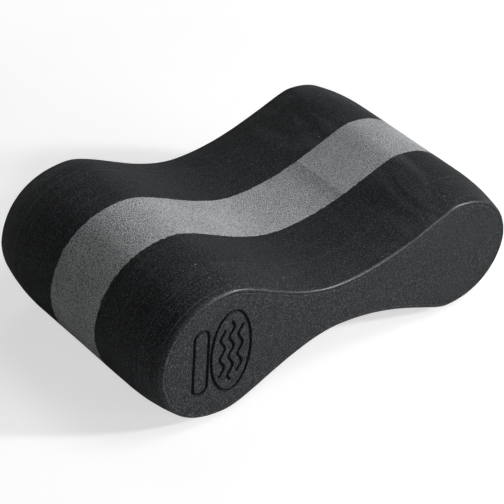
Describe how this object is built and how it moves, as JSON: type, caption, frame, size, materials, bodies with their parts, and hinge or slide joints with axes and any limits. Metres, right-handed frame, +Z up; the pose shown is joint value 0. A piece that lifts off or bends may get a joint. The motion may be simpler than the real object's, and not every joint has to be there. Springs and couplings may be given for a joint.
{
  "type": "pull buoy",
  "caption": "Figure-eight foam swimming float of laminated dark and grey sheets, waisted so that it is gripped between the thighs.",
  "frame": {"origin": "centre of the footprint, on the surface that both lobes lie on", "axes": "+X from the big lobe to the small lobe, +Y through the laminate from the emblem face to the plain face, +Z up"},
  "size_m": [0.2398, 0.145, 0.0834],
  "materials": {
    "charcoal_foam": "matte, fine closed-cell grain",
    "grey_foam": "matte, fine closed-cell grain",
    "bond_film": "satin"
  },
  "bodies": {
    "root": {"emblem_outer_sheet": "charcoal_foam", "emblem_outer_bond_film": "bond_film", "emblem_inner_sheet": "charcoal_foam", "emblem_core_bond_film": "bond_film", "core_sheet": "grey_foam", "plain_core_bond_film": "bond_film", "plain_inner_sheet": "charcoal_foam", "plain_outer_bond_film": "bond_film", "plain_outer_sheet": "charcoal_foam"}
  },
  "joints": []
}
